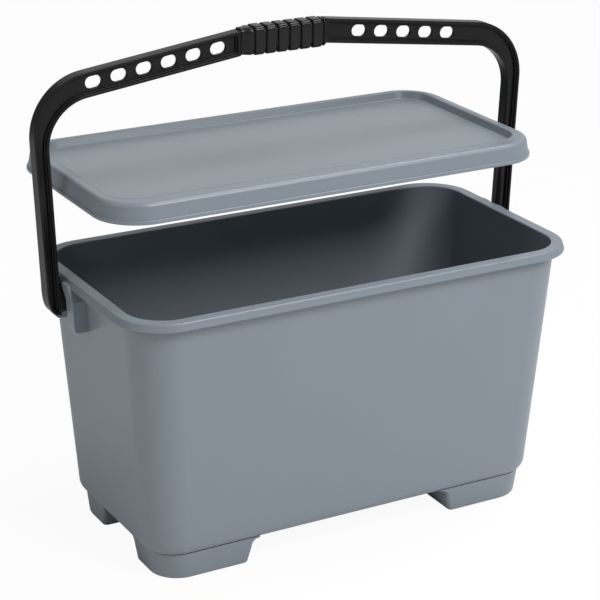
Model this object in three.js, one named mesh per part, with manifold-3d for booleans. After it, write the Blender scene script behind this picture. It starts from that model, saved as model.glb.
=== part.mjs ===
// Rectangular mop bucket with a loose lid and a swinging carrying handle.
// Millimetres, +Z up. The origin is on the floor under the middle of the whole, X runs along
// the long side and the front faces -Y. The lid is held above the tub, back and a little to
// the left, and the handle stands up and leans back.
import * as THREE from "three";
import { mergeVertices } from "three/addons/utils/BufferGeometryUtils.js";
import Module from "manifold-3d";

const wasm = await Module();
wasm.setup();

// Shared clearances and facet counts
const gap = 0.3; // between pieces that touch
const overrun = 2; // how far a cutting body runs past the face that it cuts
const cornerSteps = 9; // facets in a quarter turn of a plan corner
const roundSteps = 4; // facets in a quarter turn of an edge round
const barSteps = 8; // facets in a quarter turn of the handle's shoulder
const discSteps = 40; // facets round a hub, boss or washer
const pinSteps = 24; // facets round a pin or its bore
const quarterTurn = Math.PI / 2;

// Tub
const rimLength = 500;
const rimWidth = 262;
const rimCorner = 51;
const tubHeight = 284;
const rimDrop = 8; // height of the rim's side face
const rimFlare = 1.8; // how far the rim's lower lip stands out past its top edge
const rimEdge = 1; // bevel along the rim's outer and inner top edges
const rimOverhang = 9.2; // rim's top edge to the wall below it
const wall = 3.2;
const floorLength = 446; // body at the level of its floor
const floorWidth = 214;
const floorCorner = 36;
const bottomRound = 12;

// Feet, moulded as four corner wells
const footHeight = 27;
const footLength = 428; // over both feet, at the floor
const footWidth = 200;
const footCorner = 30;
const footSpread = 5; // how much wider the feet are at the body, over both feet
const footGapLength = 238; // between the feet along the long side, at the floor
const footGapWidth = 80; // between the feet along the short side, at the floor
const footGapDraft = 4; // each flank's lean up to the fillet
const footGapFillet = 9; // fillet between a flank and the body
const footEdge = 3.5; // round along the edges of the underside
const footSide = 4; // plan corner between a foot's outside and its flank
const footInside = 14; // plan corner between a foot's two flanks

// Handle hub, lugs and boss on each short end
const pivotBack = 38; // middle of the short side back to the pivots
const hubRadius = 13.5;
const hubHeadroom = 1.5; // hub to the underside of the rim
const lugClearance = 2; // hub to the hollow side of a lug
const lugWidth = 16; // along the short side
const lugStand = 5.5; // how far a lug's top stands out past the rim's top edge
const lugRake = 2; // how much less a lug reaches at its bottom
const lugRise = 5; // how far the lugs stand up beside the rim, above its lower edge
const lugDrop = 27; // pivot to the bottom of a lug
const lugShoulder = 15; // height of the slope from a lug's front up to its top
const lugLean = 12; // how far that slope leans in over the hub
const lugSlot = 16; // between the tops of a pair of lugs, over the hub
const lugBottomRound = 5;
const bossRadius = 11.5;
const bossStand = 5.2; // how far a boss stands out from the wall
const rootDepth = 2.4; // how deep bosses and lugs are rooted in the wall
const socketDepth = 1.4; // how deep the pin's socket goes into the wall

// Pivot pins and washers
const pinRadius = 6;
const pinEdge = 0.8;
const pinInArm = 0.6; // how far a pin goes past the hub into the arm's inner flange
const washerRadius = 11;
const washerThickness = 1.5;

// Handle bar, in the plane of the handle, with heights from the pivot
const barPeak = 253.5; // where the two top edges would meet
const barSlope = 0.13; // fall of the top bar to each side
const barHeight = 25;
const shoulderOuterRadius = 62;
const shoulderInnerRadius = 47;
const armClearance = 1.5; // lug to the arm's inner edge
const armThickness = 13;
const armOuterSplay = 0.045; // outward lean of the arm's outer edge
const armInnerSplay = 0.035;
const footDrop = 14; // arm's end below the pivot
const footToe = 3; // flat left on the end of the arm
const barDepthAtPivot = 17.5;
const barDepthAtPeak = 12.4;
const flange = 3;
const webThickness = 4;
const hubEdge = 0.8;
const frameEnd = 3.4; // solid frame at the grip end of the web

// Holes in the top bar
const holeLength = 17;
const holeHeight = 12;
const holePitch = 26.6;
const firstHole = 80; // middle of the handle to the first hole on either side
const leftHoles = 6;
const rightHoles = 5;

// Grip
const gripCentre = -5;
const gripRibs = 6;
const ribPitch = 13;
const ribLength = 10.8;
const gripHeight = 26.6;
const gripDepth = 21;
const gripCorner = 6;
const ribEdge = 1.5; // bevel at each end of a rib
const ribDepth = 2.2; // how deep the grooves between the ribs are
const leftCollar = 14; // flared end of the grip on the left
const rightCollar = 6.5;
const collarDepth = 13.8; // size of both collars at their small end
const collarHeight = 24.8;
const collarEdge = 0.6; // how far a collar's large end stays under the ribs
const coreHeight = 15;
const coreDepth = 9;
const lapLength = 44;
const lapPinRadius = 2.4;
const lapPinSpacing = 24;

// Lid, with heights from its lower edge
const lidEndMargin = 7.5; // rim's end to the lid's
const lidSideMargin = 8; // rim's long side to the lid's
const lidCorner = 46;
const lidHeight = 20;
const beadHeight = 3;
const beadEdge = 0.8;
const beadStep = 1.2; // how far the bead stands out past the skirt
const skirtDraft = 2.2;
const lidRound = 3.5; // round from the skirt to the top
const lidWall = 2.6;
const borderFront = 16; // flat border between the round and the recess
const borderBack = 8;
const borderEnd = 9;
const recessDepth = 7;
const recessDraft = 2;
const recessCorner = 28;
const tabWidth = 30;
const tabThickness = 2.5;
const tabDrop = 3.5; // below the lid's lower edge
const tabClearance = 2.1; // tab to the inside of the rim, with the lid on
const sideTabPlace = 120; // middle of the lid to a tab on a long side
const lidLift = 81; // how far above its seat the lid is held
const lidShift = 42; // how far it is held towards the back
const lidAside = 6; // how far it is held towards the left

// Places that follow from the sizes
const rimSize = { length: rimLength, width: rimWidth, corner: rimCorner };
const wallTopSize = {
  length: rimLength - 2 * rimOverhang,
  width: rimWidth - 2 * rimOverhang,
  corner: rimCorner - rimOverhang,
};
const floorSize = { length: floorLength, width: floorWidth, corner: floorCorner };
const lidLength = rimLength - 2 * lidEndMargin;
const lidWidth = rimWidth - 2 * lidSideMargin;
const pivotHeight = tubHeight - rimDrop - hubHeadroom - hubRadius;
const wallReach = wallSize(pivotHeight).length / 2;
const rootReach = wallReach - rootDepth;
const socketReach = wallReach - socketDepth;
const bossReach = wallReach + bossStand;
const hubReach = bossReach + gap + washerThickness + gap;
const lugReach = rimLength / 2 + lugStand;
const lugBottom = pivotHeight - lugDrop;
const armInnerReach = lugReach + armClearance;
const armOuterReach = armInnerReach + armThickness;
const pinReach = armInnerReach + pinInArm;

// Materials
const greyPlastic = new THREE.MeshStandardMaterial({ color: 0x7d858d, roughness: 0.55, metalness: 0 });
const blackPlastic = new THREE.MeshStandardMaterial({ color: 0x1b1c1e, roughness: 0.42, metalness: 0 });
const blackRubber = new THREE.MeshStandardMaterial({ color: 0x202123, roughness: 0.6, metalness: 0 });
const paleNylon = new THREE.MeshStandardMaterial({ color: 0xd9d7cf, roughness: 0.45, metalness: 0 });

// Solids from geometries, and back
function toSolid(geometry) {
  const bare = geometry.index ? geometry.clone() : geometry;
  bare.deleteAttribute("normal");
  bare.deleteAttribute("uv");
  const merged = mergeVertices(bare);
  return new wasm.Manifold(
    new wasm.Mesh({
      numProp: 3,
      vertProperties: new Float32Array(merged.attributes.position.array),
      triVerts: new Uint32Array(merged.index.array),
    }),
  );
}

function toGeometry(solid) {
  const mesh = solid.getMesh();
  const geometry = new THREE.BufferGeometry();
  geometry.setAttribute("position", new THREE.BufferAttribute(mesh.vertProperties, mesh.numProp));
  geometry.setIndex(new THREE.BufferAttribute(mesh.triVerts, 1));
  geometry.computeVertexNormals();
  return geometry;
}

// Rectangle with a radius of its own at each corner, counter-clockwise seen from above.
// The corners follow each other from high X and high Y.
function cornerOutline(lowX, highX, lowY, highY, radii, steps = cornerSteps) {
  const points = [];
  radii.forEach((radius, quarter) => {
    const centreX = quarter === 0 || quarter === 3 ? highX - radius : lowX + radius;
    const centreY = quarter < 2 ? highY - radius : lowY + radius;
    for (let step = 0; step <= steps; step += 1) {
      const angle = (quarter + step / steps) * quarterTurn;
      points.push([centreX + radius * Math.cos(angle), centreY + radius * Math.sin(angle)]);
    }
  });
  return points;
}

function roundedOutline(halfX, halfY, radius, steps = cornerSteps) {
  return cornerOutline(-halfX, halfX, -halfY, halfY, [radius, radius, radius, radius], steps);
}

// Closed body through a stack of outlines with equally many points, from the lowest up
function loft(rings) {
  const positions = [];
  const indices = [];
  const count = rings[0].outline.length;
  for (const { outline, level } of rings) {
    for (const [x, y] of outline) positions.push(x, y, level);
  }
  for (let ring = 0; ring < rings.length - 1; ring += 1) {
    for (let i = 0; i < count; i += 1) {
      const a = ring * count + i;
      const b = ring * count + ((i + 1) % count);
      indices.push(a, b, b + count, a, b + count, a + count);
    }
  }
  for (const [ring, up] of [[0, false], [rings.length - 1, true]]) {
    const { outline, level } = rings[ring];
    const centre = positions.length / 3;
    const meanX = outline.reduce((sum, point) => sum + point[0], 0) / count;
    const meanY = outline.reduce((sum, point) => sum + point[1], 0) / count;
    positions.push(meanX, meanY, level);
    for (let i = 0; i < count; i += 1) {
      const a = ring * count + i;
      const b = ring * count + ((i + 1) % count);
      if (up) indices.push(centre, a, b);
      else indices.push(centre, b, a);
    }
  }
  const geometry = new THREE.BufferGeometry();
  geometry.setAttribute("position", new THREE.BufferAttribute(new Float32Array(positions), 3));
  geometry.setIndex(indices);
  return geometry;
}

// A ring of a loft: a rounded rectangle of given length, width and corner, all drawn in by inset
function ring(size, inset, level) {
  const corner = Math.max(size.corner - inset, gap);
  return { outline: roundedOutline(size.length / 2 - inset, size.width / 2 - inset, corner), level };
}

function mixSize(low, high, share) {
  return {
    length: THREE.MathUtils.lerp(low.length, high.length, share),
    width: THREE.MathUtils.lerp(low.width, high.width, share),
    corner: THREE.MathUtils.lerp(low.corner, high.corner, share),
  };
}

// Straight-sided body from a closed shape, between two levels along an axis.
// Along X the shape's two directions are Y and Z, and along Y they are X and Z.
function prism(shape, axis, from, to) {
  const geometry = new THREE.ExtrudeGeometry(shape, {
    depth: to - from,
    bevelEnabled: false,
    curveSegments: barSteps,
  });
  const basis = new THREE.Matrix4();
  const x = new THREE.Vector3(1, 0, 0);
  const y = new THREE.Vector3(0, 1, 0);
  const z = new THREE.Vector3(0, 0, 1);
  if (axis === "x") basis.makeBasis(y, z, x).setPosition(from, 0, 0);
  if (axis === "y") basis.makeBasis(x, z, y.negate()).setPosition(0, to, 0);
  if (axis === "z") basis.setPosition(0, 0, from);
  return toSolid(geometry.applyMatrix4(basis));
}

function block(lowX, highX, lowY, highY, lowZ, highZ) {
  const geometry = new THREE.BoxGeometry(highX - lowX, highY - lowY, highZ - lowZ);
  geometry.translate((lowX + highX) / 2, (lowY + highY) / 2, (lowZ + highZ) / 2);
  return toSolid(geometry);
}

// Round body along X, from a list of [x, radius] pairs
function turned(profile, height, steps = discSteps) {
  const first = profile[0][0];
  const last = profile[profile.length - 1][0];
  const points = profile.map(([x, radius]) => new THREE.Vector2(radius, x));
  const closed = [new THREE.Vector2(0, first), ...points, new THREE.Vector2(0, last)];
  const geometry = new THREE.LatheGeometry(closed, steps);
  geometry.rotateZ(-quarterTurn);
  geometry.translate(0, 0, height);
  return toSolid(geometry);
}

// Mirrors a solid to the other side of X = 0
function mirrored(solid) {
  return solid.mirror([1, 0, 0]);
}

function withMirror(solid) {
  return solid.add(mirrored(solid));
}

// Tub
function wallSize(level) {
  return mixSize(floorSize, wallTopSize, (level - footHeight) / (tubHeight - footHeight));
}

// Rings of the round at the bottom of the body, for a skin that lies inset inside the outside
function bottomRings(inset) {
  const rings = [];
  const radius = bottomRound - inset;
  for (let step = 0; step <= roundSteps; step += 1) {
    const angle = (step / roundSteps) * quarterTurn;
    const level = footHeight + inset + radius * (1 - Math.cos(angle));
    rings.push(ring(wallSize(level), inset + radius * (1 - Math.sin(angle)), level));
  }
  return rings;
}

function tubOutside() {
  const lip = tubHeight - rimDrop;
  return toSolid(
    loft([
      ...bottomRings(0),
      ring(wallSize(lip), 0, lip),
      ring(rimSize, -rimFlare, lip),
      ring(rimSize, -rimEdge, tubHeight - rimEdge),
      ring(rimSize, 0, tubHeight),
    ]),
  );
}

function tubInside() {
  const mouth = rimOverhang + wall;
  return toSolid(
    loft([
      ...bottomRings(wall),
      ring(rimSize, mouth, tubHeight - rimEdge),
      ring(rimSize, mouth - rimEdge, tubHeight),
      ring(rimSize, mouth - rimEdge, tubHeight + overrun),
    ]),
  );
}

// One foot, drawn in by inset all round and standing on a floor of that thickness
function footBody(inset) {
  const top = inset ? footHeight + bottomRound / 2 : footHeight + wall / 2;
  const radii = [footCorner, footSide, footInside, footSide].map((radius) => Math.max(radius - inset, gap));
  const footRing = (drawn, lean, level) => {
    const spread = (footSpread / 2) * Math.min(level / footHeight, 1);
    const outline = cornerOutline(
      footGapLength / 2 - lean + drawn,
      footLength / 2 + spread - drawn,
      footGapWidth / 2 - lean + drawn,
      footWidth / 2 + spread - drawn,
      radii,
    );
    return { outline, level };
  };
  const rings = [];
  for (let step = 0; step <= roundSteps; step += 1) {
    const angle = (step / roundSteps) * quarterTurn;
    const drawn = inset + footEdge * (1 - Math.sin(angle));
    rings.push(footRing(drawn, 0, inset + footEdge * (1 - Math.cos(angle))));
  }
  for (let step = 0; step <= roundSteps; step += 1) {
    const angle = (step / roundSteps) * quarterTurn;
    const lean = footGapDraft + footGapFillet * (1 - Math.cos(angle));
    rings.push(footRing(inset, lean, footHeight - footGapFillet * (1 - Math.sin(angle))));
  }
  rings.push(footRing(inset, footGapDraft + footGapFillet, top));
  return toSolid(loft(rings));
}

function allFeet(inset) {
  const right = footBody(inset);
  const both = right.add(right.mirror([0, 1, 0]));
  return withMirror(both);
}

// The two lugs that guard one hub, on the +X end
function lugs() {
  const top = tubHeight - rimDrop + lugRise;
  const hollow = hubRadius + lugClearance;
  const rootAt = (level) => wallSize(level).length / 2 - rootDepth;
  const side = hollow + lugWidth;
  const fromEnd = new THREE.Shape();
  fromEnd.moveTo(-side, lugBottom);
  fromEnd.lineTo(side, lugBottom);
  fromEnd.lineTo(side, top - lugShoulder);
  fromEnd.lineTo(side - lugLean, top);
  fromEnd.lineTo(lugLean - side, top);
  fromEnd.lineTo(-side, top - lugShoulder);
  const fromSide = new THREE.Shape();
  fromSide.moveTo(rootAt(lugBottom), lugBottom);
  fromSide.lineTo(lugReach - lugRake - lugBottomRound, lugBottom);
  fromSide.quadraticCurveTo(lugReach - lugRake, lugBottom, lugReach - lugRake, lugBottom + lugBottomRound);
  fromSide.lineTo(lugReach, top);
  fromSide.lineTo(rootAt(top), top);
  const span = side + overrun;
  const near = rootAt(lugBottom) - overrun;
  const far = lugReach + overrun;
  const pair = prism(fromEnd, "x", near, far).intersect(prism(fromSide, "y", -span, span));
  const hubSpace = turned([[near, hollow], [far, hollow]], pivotHeight);
  const slotBlock = (halfWidth, low, high) => block(near, far, -halfWidth, halfWidth, low, high);
  const overHub = slotBlock(lugSlot / 2, pivotHeight, tubHeight);
  const underHub = slotBlock(hollow, lugBottom - overrun, pivotHeight);
  return pair.subtract(hubSpace).subtract(overHub).subtract(underHub);
}

function boss() {
  return turned([[rootReach, bossRadius], [bossReach, bossRadius]], pivotHeight);
}

function pinBore(from, to) {
  return turned([[from, pinRadius + gap], [to, pinRadius + gap]], pivotHeight, pinSteps);
}

// What is made round the X axis for the +X end, moved back to the pivots and mirrored for the -X end
function atBothPivots(solid) {
  return withMirror(solid.translate([0, pivotBack, 0]));
}

function tub() {
  const outside = tubOutside().add(atBothPivots(lugs().add(boss()))).add(allFeet(0));
  const hollow = outside.subtract(tubInside()).subtract(allFeet(wall));
  return hollow.subtract(atBothPivots(pinBore(socketReach, bossReach + overrun)));
}

// Pivot pin from the boss's socket through the hub, and the washer round it
function pivotPin() {
  const seat = socketReach + gap;
  return turned(
    [
      [seat, pinRadius - pinEdge],
      [seat + pinEdge, pinRadius],
      [pinReach - pinEdge, pinRadius],
      [pinReach, pinRadius - pinEdge],
    ],
    pivotHeight,
    pinSteps,
  );
}

function pivotWasher() {
  const inner = bossReach + gap;
  const outer = inner + washerThickness;
  const disc = turned([[inner, washerRadius], [outer, washerRadius]], pivotHeight);
  return disc.subtract(pinBore(inner - overrun, outer + overrun));
}

// Handle bar outline: straight edges given by a point and a direction, joined by arcs
const topAngle = Math.atan(barSlope);
const outward = { x: Math.cos(topAngle), z: -Math.sin(topAngle) };

function edge(x, z, directionX, directionZ) {
  return { x, z, directionX, directionZ };
}

// Point on an edge at a given height or, for the top bar, at a given x
function atHeight(line, z) {
  return { x: line.x + (line.directionX * (z - line.z)) / line.directionZ, z };
}

function atReach(line, x) {
  return { x, z: line.z + (line.directionZ * (x - line.x)) / line.directionX };
}

// The edge moved sideways, to the right of its direction
function offset(line, distance) {
  return { ...line, x: line.x + line.directionZ * distance, z: line.z - line.directionX * distance };
}

function crossing(a, b) {
  const determinant = a.directionX * b.directionZ - a.directionZ * b.directionX;
  const along = ((b.x - a.x) * b.directionZ - (b.z - a.z) * b.directionX) / determinant;
  return { x: a.x + a.directionX * along, z: a.z + a.directionZ * along };
}

// Region between the bar's outer and inner edges on the +X side, drawn in by inset,
// from the given start to the arm's end
function barShape(start, inset) {
  const splayOut = Math.atan(armOuterSplay);
  const splayIn = Math.atan(armInnerSplay);
  const topEdge = edge(0, barPeak, outward.x, outward.z);
  const armEdge = edge(armOuterReach, 0, -Math.sin(splayOut), -Math.cos(splayOut));
  const underEdge = edge(0, barPeak - barHeight, outward.x, outward.z);
  const innerEdge = edge(armInnerReach, 0, -Math.sin(splayIn), -Math.cos(splayIn));
  const roundCentre = (a, b, radius) => crossing(offset(a, radius), offset(b, radius));
  const outerCentre = roundCentre(topEdge, armEdge, shoulderOuterRadius);
  const innerCentre = roundCentre(underEdge, innerEdge, shoulderInnerRadius);
  const top = offset(topEdge, inset);
  const arm = offset(armEdge, inset);
  const under = offset(underEdge, -inset);
  const inner = offset(innerEdge, -inset);
  const end = inset - footDrop;
  const shape = new THREE.Shape();
  const first = atReach(top, start);
  const last = atReach(under, start);
  shape.moveTo(last.x, last.z);
  shape.lineTo(first.x, first.z);
  const outerRadius = shoulderOuterRadius - inset;
  shape.absarc(outerCentre.x, outerCentre.z, outerRadius, quarterTurn - topAngle, -splayOut, true);
  const heel = atHeight(arm, 0);
  shape.lineTo(heel.x, heel.z);
  const toe = atHeight(inner, end);
  shape.quadraticCurveTo(heel.x, end, Math.min(toe.x + footToe, heel.x), end);
  shape.lineTo(toe.x, toe.z);
  const innerRadius = shoulderInnerRadius + inset;
  shape.absarc(innerCentre.x, innerCentre.z, innerRadius, -splayIn, quarterTurn - topAngle, false);
  return shape;
}

function holeShape(x) {
  const topEdge = edge(0, barPeak - barHeight / 2, outward.x, outward.z);
  const centre = atReach(topEdge, x);
  const radius = holeHeight / 2;
  const reach = holeLength / 2 - radius;
  const shape = new THREE.Shape();
  const left = { x: centre.x - outward.x * reach, z: centre.z - outward.z * reach };
  const right = { x: centre.x + outward.x * reach, z: centre.z + outward.z * reach };
  shape.absarc(right.x, right.z, radius, -quarterTurn - topAngle, quarterTurn - topAngle, false);
  shape.absarc(left.x, left.z, radius, quarterTurn - topAngle, 3 * quarterTurn - topAngle, false);
  return shape;
}

// Wedge that thins the bar from the pivot up to its peak
function depthWedge() {
  const low = -footDrop - overrun;
  const high = barPeak + overrun;
  const halfAt = (z) => THREE.MathUtils.lerp(barDepthAtPivot, barDepthAtPeak, z / barPeak) / 2;
  const shape = new THREE.Shape();
  shape.moveTo(-halfAt(low), low);
  shape.lineTo(halfAt(low), low);
  shape.lineTo(halfAt(high), high);
  shape.lineTo(-halfAt(high), high);
  return prism(shape, "x", 0, armOuterReach + shoulderOuterRadius);
}

// Grip ends and middle height, in the plane of the handle
const gripHalf = (gripRibs * ribPitch - (ribPitch - ribLength)) / 2;
const gripLeft = gripCentre - gripHalf - leftCollar;
const gripRight = gripCentre + gripHalf + rightCollar;
const gripLevel = barPeak - barHeight / 2 - barSlope * gripHalf;

// One half of the bar on the +X side: an I-section with holes, and its hub
function barHalf(start, holes) {
  const reach = barDepthAtPivot;
  let body = prism(barShape(start, 0), "y", -reach, reach).intersect(depthWedge());
  const pocket = barShape(start + frameEnd, flange);
  body = body.subtract(prism(pocket, "y", webThickness / 2, reach));
  body = body.subtract(prism(pocket, "y", -reach, -webThickness / 2));
  for (let i = 0; i < holes; i += 1) {
    body = body.subtract(prism(holeShape(firstHole + i * holePitch), "y", -reach, reach));
  }
  const hubOuter = armInnerReach + flange / 2;
  const hub = turned(
    [
      [hubReach, hubRadius - hubEdge],
      [hubReach + hubEdge, hubRadius],
      [hubOuter - hubEdge, hubRadius],
      [hubOuter, hubRadius - hubEdge],
    ],
    0,
  );
  const boreRadius = pinRadius + gap;
  const bore = turned([[hubReach - overrun, boreRadius], [pinReach + gap, boreRadius]], 0, pinSteps);
  return body.add(hub).subtract(bore);
}

// Core of one half inside the grip, ending in a tongue that laps the other half's
function core(beamEnd, side) {
  const low = gripLevel - coreHeight / 2;
  const high = gripLevel + coreHeight / 2;
  const lapStart = gripCentre + (side * lapLength) / 2;
  const root = beamEnd + side * frameEnd;
  const sideBlock = (a, b, lowY, highY) => block(Math.min(a, b), Math.max(a, b), lowY, highY, low, high);
  const stem = sideBlock(lapStart + side * (gap / 2), root, -coreDepth / 2, coreDepth / 2);
  const tongueEnd = gripCentre - side * (lapLength / 2 - gap / 2);
  const nearY = side < 0 ? -coreDepth / 2 : gap / 2;
  const farY = side < 0 ? -gap / 2 : coreDepth / 2;
  const tongue = sideBlock(tongueEnd, lapStart + side * gap, nearY, farY);
  return stem.add(tongue);
}

// Pin through the lapped tongues, or its hole, on one side of the grip's middle
function lapPin(side, radius, halfLength) {
  const geometry = new THREE.CylinderGeometry(radius, radius, 2 * halfLength, pinSteps);
  geometry.translate(gripCentre + (side * lapPinSpacing) / 2, 0, gripLevel);
  return toSolid(geometry);
}

function handleHalf(side) {
  const beamEnd = side < 0 ? gripLeft : gripRight;
  const start = Math.abs(beamEnd);
  const holes = side < 0 ? leftHoles : rightHoles;
  const bar = barHalf(start, holes);
  const placed = side < 0 ? mirrored(bar) : bar;
  const holeRadius = lapPinRadius + gap;
  const pinHoles = lapPin(-1, holeRadius, coreDepth).add(lapPin(1, holeRadius, coreDepth));
  return placed.add(core(beamEnd, side)).subtract(pinHoles);
}

// Ribbed grip in two half shells round the core
function gripBody() {
  const sized = (depth, height, x) => {
    const corner = Math.min(gripCorner, gripCorner - (gripDepth - depth) / 2 + ribDepth);
    const outline = roundedOutline(depth / 2, height / 2, Math.max(corner, ribEdge), roundSteps);
    return { outline, level: x };
  };
  const section = (inset, x) => sized(gripDepth - 2 * inset, gripHeight - 2 * inset, x);
  const groove = ribPitch - ribLength;
  const first = gripCentre - gripHalf;
  const last = gripCentre + gripHalf;
  const rings = [sized(collarDepth, collarHeight, gripLeft + gap)];
  rings.push(section(collarEdge, first - groove - ribEdge), section(collarEdge, first - groove));
  rings.push(section(ribDepth, first - groove));
  for (let i = 0; i < gripRibs; i += 1) {
    const from = first + i * ribPitch;
    const to = from + ribLength;
    rings.push(section(ribDepth, from), section(ribEdge / 2, from), section(0, from + ribEdge));
    rings.push(section(0, to - ribEdge), section(ribEdge / 2, to), section(ribDepth, to));
  }
  rings.push(section(ribDepth, last + groove), section(collarEdge, last + groove));
  rings.push(section(collarEdge, last + groove + ribEdge));
  rings.push(sized(collarDepth, collarHeight, gripRight - gap));
  const turn = new THREE.Matrix4().makeBasis(
    new THREE.Vector3(0, 1, 0),
    new THREE.Vector3(0, 0, 1),
    new THREE.Vector3(1, 0, 0),
  );
  const outside = loft(rings).applyMatrix4(turn.setPosition(0, 0, gripLevel));
  const halfHeight = coreHeight / 2 + gap;
  const halfDepth = coreDepth / 2 + gap;
  const from = gripLeft - overrun;
  const to = gripRight + overrun;
  const tunnel = block(from, to, -halfDepth, halfDepth, gripLevel - halfHeight, gripLevel + halfHeight);
  return toSolid(outside).subtract(tunnel);
}

function gripShell(side) {
  const reach = gripDepth;
  const nearY = side < 0 ? -reach : gap / 2;
  const farY = side < 0 ? -gap / 2 : reach;
  const high = gripLevel + gripHeight;
  return gripBody().intersect(block(gripLeft, gripRight, nearY, farY, gripLevel - gripHeight, high));
}

// Lid, with its lower edge at level 0
const lidSize = { length: lidLength, width: lidWidth, corner: lidCorner };
const lidCrease = beadStep + skirtDraft + lidRound;
const skirtInside = beadStep + skirtDraft + lidWall;

function lidOutside() {
  const rings = [
    ring(lidSize, beadEdge, 0),
    ring(lidSize, 0, beadEdge),
    ring(lidSize, 0, beadHeight - beadEdge / 2),
    ring(lidSize, beadStep, beadHeight + beadEdge),
  ];
  for (let step = 0; step <= roundSteps; step += 1) {
    const angle = (step / roundSteps) * quarterTurn;
    const inset = beadStep + skirtDraft + lidRound * (1 - Math.cos(angle));
    rings.push(ring(lidSize, inset, lidHeight - lidRound + lidRound * Math.sin(angle)));
  }
  return toSolid(loft(rings));
}

// The recess in the top, widened by spread and lowered by drop, up to the given top
function lidRecess(spread, drop, top) {
  const recessRing = (drawn, level) => {
    const edge = lidCrease - spread + drawn;
    const halfX = lidLength / 2 - edge - borderEnd;
    const lowY = edge + borderFront - lidWidth / 2;
    const highY = lidWidth / 2 - edge - borderBack;
    const radius = recessCorner + spread - drawn;
    return { outline: cornerOutline(-halfX, halfX, lowY, highY, [radius, radius, radius, radius]), level };
  };
  return toSolid(
    loft([
      recessRing(recessDraft, lidHeight - recessDepth - drop),
      recessRing(0, lidHeight - drop),
      recessRing(0, top),
    ]),
  );
}

function lidUnderside() {
  const rings = [
    ring(lidSize, beadStep + lidWall - beadEdge, -overrun),
    ring(lidSize, beadStep + lidWall, beadHeight),
    ring(lidSize, skirtInside, lidHeight - lidRound),
    ring(lidSize, lidCrease, lidHeight - lidWall),
  ];
  return toSolid(loft(rings)).subtract(lidRecess(lidWall, lidWall, lidHeight + overrun));
}

// Tabs that drop inside the rim and keep the lid on its seat
function lidTabs() {
  const top = lidHeight - lidWall / 2;
  const half = tabWidth / 2;
  const reachX = rimLength / 2 - rimOverhang - wall - tabClearance;
  const reachY = rimWidth / 2 - rimOverhang - wall - tabClearance;
  const endTab = block(reachX - tabThickness, reachX, -half, half, -tabDrop, top);
  const innerY = reachY - tabThickness;
  const sideTab = block(sideTabPlace - half, sideTabPlace + half, innerY, reachY, -tabDrop, top);
  const sides = sideTab.add(sideTab.mirror([0, 1, 0]));
  return withMirror(endTab.add(sides));
}

function lid() {
  const shell = lidOutside().subtract(lidUnderside()).subtract(lidRecess(0, 0, lidHeight + overrun));
  return shell.add(lidTabs());
}

// Assembly, moved in Y so that the origin is under the middle of its overall box
const frontReach = rimWidth / 2 + rimFlare;
const backReach = Math.max(lidShift + lidWidth / 2, frontReach);
const bucket = new THREE.Group();
bucket.position.y = (frontReach - backReach) / 2;

function addPiece(parent, name, solid, material) {
  const mesh = new THREE.Mesh(toGeometry(solid), material);
  mesh.name = name;
  parent.add(mesh);
}

addPiece(bucket, "tub", tub(), greyPlastic);

const pivots = new THREE.Group();
pivots.position.y = pivotBack;
addPiece(pivots, "pivot_pin_right", pivotPin(), paleNylon);
addPiece(pivots, "pivot_pin_left", mirrored(pivotPin()), paleNylon);
addPiece(pivots, "pivot_washer_right", pivotWasher(), paleNylon);
addPiece(pivots, "pivot_washer_left", mirrored(pivotWasher()), paleNylon);
bucket.add(pivots);

const handle = new THREE.Group();
handle.position.set(0, pivotBack, pivotHeight);
addPiece(handle, "handle_left", handleHalf(-1), blackPlastic);
addPiece(handle, "handle_right", handleHalf(1), blackPlastic);
addPiece(handle, "lap_pin_left", lapPin(-1, lapPinRadius, coreDepth / 2), paleNylon);
addPiece(handle, "lap_pin_right", lapPin(1, lapPinRadius, coreDepth / 2), paleNylon);
addPiece(handle, "grip_front", gripShell(-1), blackRubber);
addPiece(handle, "grip_rear", gripShell(1), blackRubber);
bucket.add(handle);

const lidGroup = new THREE.Group();
lidGroup.position.set(-lidAside, lidShift, tubHeight + gap + lidLift);
addPiece(lidGroup, "lid", lid(), greyPlastic);
bucket.add(lidGroup);

const assembly = new THREE.Group();
assembly.add(bucket);

export default assembly;
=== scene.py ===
import math

import bmesh
import bpy
from mathutils import Matrix, Vector


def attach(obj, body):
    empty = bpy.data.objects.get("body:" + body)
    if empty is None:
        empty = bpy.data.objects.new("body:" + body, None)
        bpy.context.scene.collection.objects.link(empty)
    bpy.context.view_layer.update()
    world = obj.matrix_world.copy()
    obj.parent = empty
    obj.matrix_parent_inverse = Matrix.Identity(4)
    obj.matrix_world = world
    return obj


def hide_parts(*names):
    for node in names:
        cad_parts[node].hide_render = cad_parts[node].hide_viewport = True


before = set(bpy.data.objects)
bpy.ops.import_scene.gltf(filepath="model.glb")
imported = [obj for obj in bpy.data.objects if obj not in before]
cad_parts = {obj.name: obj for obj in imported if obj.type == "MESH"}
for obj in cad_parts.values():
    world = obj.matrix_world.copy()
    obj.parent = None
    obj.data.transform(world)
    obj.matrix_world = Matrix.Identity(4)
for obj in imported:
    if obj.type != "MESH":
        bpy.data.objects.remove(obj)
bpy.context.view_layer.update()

MM = 0.001
QUARTER = math.pi / 2

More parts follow.
